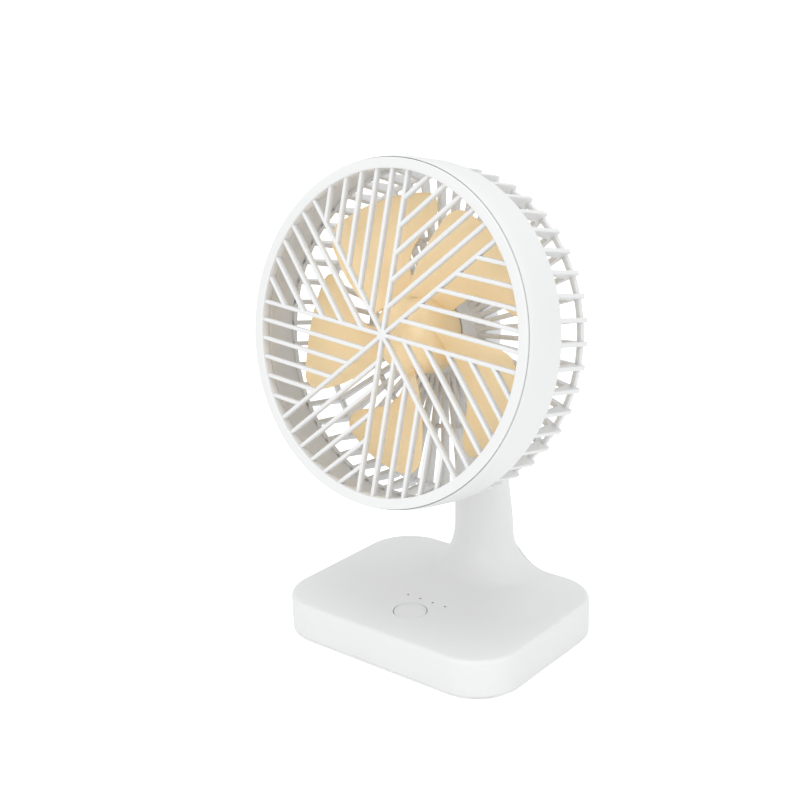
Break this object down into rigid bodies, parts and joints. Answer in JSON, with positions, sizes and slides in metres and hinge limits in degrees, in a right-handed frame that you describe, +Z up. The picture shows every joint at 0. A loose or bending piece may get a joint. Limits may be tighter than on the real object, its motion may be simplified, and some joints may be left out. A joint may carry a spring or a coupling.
{
  "type": "desk fan",
  "caption": "Cordless desk fan: round tilting head with a pinwheel grille and ribbed rear cage, peach impeller, flared neck and weighted slab base with a push button.",
  "frame": {"origin": "middle of the footprint, on the plane that the feet stand on", "axes": "+Z up; the fan blows towards -Y; +X is on the right when looking along +Y from the front of the fan"},
  "size_m": [0.1826, 0.1191, 0.2731],
  "materials": {
    "white_abs": "satin moulded plastic, fine mould texture",
    "white_abs_underside": "matt moulded plastic",
    "rubber": "matt rubber",
    "screw_steel": "nickel-plated steel",
    "plated_steel": "zinc-plated steel",
    "cell_sleeve": "silver-grey foil wrap",
    "board_green": "green solder mask",
    "black_plastic": "black plastic",
    "red_wire": "red wire insulation",
    "light_guide": "smoked clear plastic",
    "bronze": "sintered bronze",
    "peach_abs": "satin peach-cream moulded plastic"
  },
  "bodies": {
    "base": {"base_shell": "white_abs", "bottom_cover": "white_abs_underside", "foot_1": "rubber", "foot_2": "rubber", "foot_3": "rubber", "foot_4": "rubber", "base_screw_1": "screw_steel", "base_screw_2": "screw_steel", "base_screw_3": "screw_steel", "base_screw_4": "screw_steel", "ballast_plate": "plated_steel", "battery_cell": "cell_sleeve", "control_board": "board_green", "push_switch": "black_plastic", "light_guide": "light_guide", "usb_socket": "plated_steel", "socket_board": "board_green", "battery_lead": "red_wire", "neck_lead": "black_plastic", "hinge_bolt": "screw_steel", "hinge_nut": "screw_steel", "hinge_cap_left": "white_abs", "hinge_cap_right": "white_abs", "friction_washer_left": "black_plastic", "friction_washer_right": "black_plastic"},
    "button": {"power_button": "white_abs"},
    "head": {"drum": "white_abs", "front_grille": "white_abs", "rear_cage": "white_abs", "motor_housing": "white_abs", "housing_cap": "white_abs", "housing_screw_1": "screw_steel", "housing_screw_2": "screw_steel", "housing_screw_3": "screw_steel", "motor_can": "plated_steel", "front_bush": "bronze", "rear_bush": "bronze", "motor_screw_1": "screw_steel", "motor_screw_2": "screw_steel", "motor_board": "board_green", "head_lead": "black_plastic"},
    "rotor": {"impeller": "peach_abs", "hub_bush": "bronze", "motor_shaft": "screw_steel"}
  },
  "joints": [
    {"name": "head_tilt", "type": "hinge", "parent": "base", "child": "head", "pos_m": [0, 0.039, 0.134], "axis": [-1, 0, 0], "range_deg": [-20, 30]},
    {"name": "fan_spin", "type": "hinge", "parent": "head", "child": "rotor", "pos_m": [0, -0.0423, 0.1847], "axis": [0, 0.9813, -0.1925], "continuous": true},
    {"name": "button_press", "type": "slide", "parent": "base", "child": "button", "axis": [0, 0, -1], "range_m": [0, 0.0008], "stiffness_N_per_m": 900}
  ]
}
